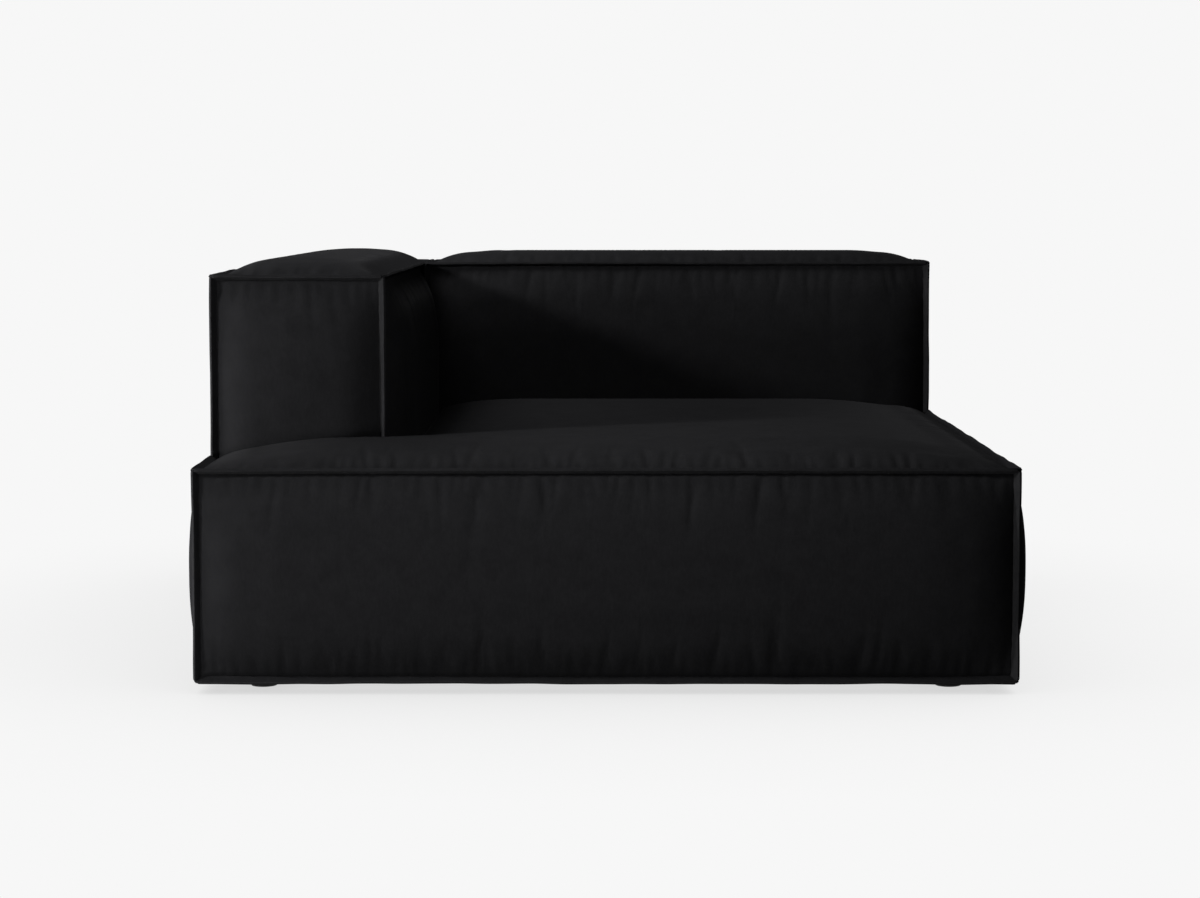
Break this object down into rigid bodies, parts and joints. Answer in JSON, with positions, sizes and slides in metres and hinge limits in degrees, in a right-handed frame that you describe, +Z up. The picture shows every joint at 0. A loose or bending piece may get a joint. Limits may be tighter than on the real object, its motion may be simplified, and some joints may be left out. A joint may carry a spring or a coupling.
{
  "type": "daybed",
  "caption": "Low upholstered daybed with a deep crowned seat, a thick arm along the left side and a matching back, every edge finished with a stand-proud seam flange, on low round feet.",
  "frame": {"origin": "centre of the bounding box in plan, at floor level under the feet", "axes": "+Z up, -Y towards the front of the seat, +Y towards the back, -X towards the arm"},
  "size_m": [1.404, 1.65, 0.708],
  "materials": {
    "velvet": "black short-pile velvet, soft sheen at grazing angles",
    "padding": "white polyester fibre padding",
    "foam": "pale cut polyurethane foam",
    "webbing": "dark woven elastic webbing",
    "dust_cloth": "black spunbond cloth",
    "timber": "planed pine, unfinished",
    "plywood": "birch plywood, unfinished",
    "fibreboard": "brown hardboard",
    "foot_plastic": "black moulded plastic, matt",
    "steel": "zinc-plated steel"
  },
  "bodies": {
    "root": {"arm_base_board": "plywood", "arm_bolt_post": "timber", "arm_bolt_rail": "timber", "arm_cover": "velvet", "arm_dust_cover": "dust_cloth", "arm_front_board": "plywood", "arm_front_padding": "padding", "arm_inner_padding": "padding", "arm_inner_panel": "fibreboard", "arm_outer_padding": "padding", "arm_outer_panel": "fibreboard", "arm_rear_board": "plywood", "arm_rear_padding": "padding", "arm_ribs": "plywood", "arm_seam_flange": "velvet", "arm_top_board": "plywood", "arm_top_padding": "padding", "back_cover": "velvet", "back_dust_cover": "dust_cloth", "back_front_padding": "padding", "back_left_post": "timber", "back_lower_rail": "timber", "back_middle_posts": "timber", "back_rear_padding": "padding", "back_rear_panel": "fibreboard", "back_right_padding": "padding", "back_right_post": "timber", "back_seam_flange": "velvet", "back_top_board": "plywood", "back_top_padding": "padding", "back_upper_rail": "timber", "back_webbing": "webbing", "feet": "foot_plastic", "foot_blocks": "timber", "seat_corner_deck": "fibreboard", "seat_corner_rear_rail": "timber", "seat_corner_side_rail": "timber", "seat_cover": "velvet", "seat_cross_rail_front": "timber", "seat_cross_rail_rear": "timber", "seat_dust_cover": "dust_cloth", "seat_foam_core": "foam", "seat_front_padding": "padding", "seat_front_rail": "timber", "seat_left_padding": "padding", "seat_left_rail": "timber", "seat_nose_rail": "timber", "seat_rear_rail": "timber", "seat_right_padding": "padding", "seat_right_rail": "timber", "seat_seam_flange": "velvet", "seat_top_padding": "padding", "seat_webbing_crosswise": "webbing", "seat_webbing_lengthwise": "webbing", "unit_bolts": "steel"}
  },
  "joints": []
}
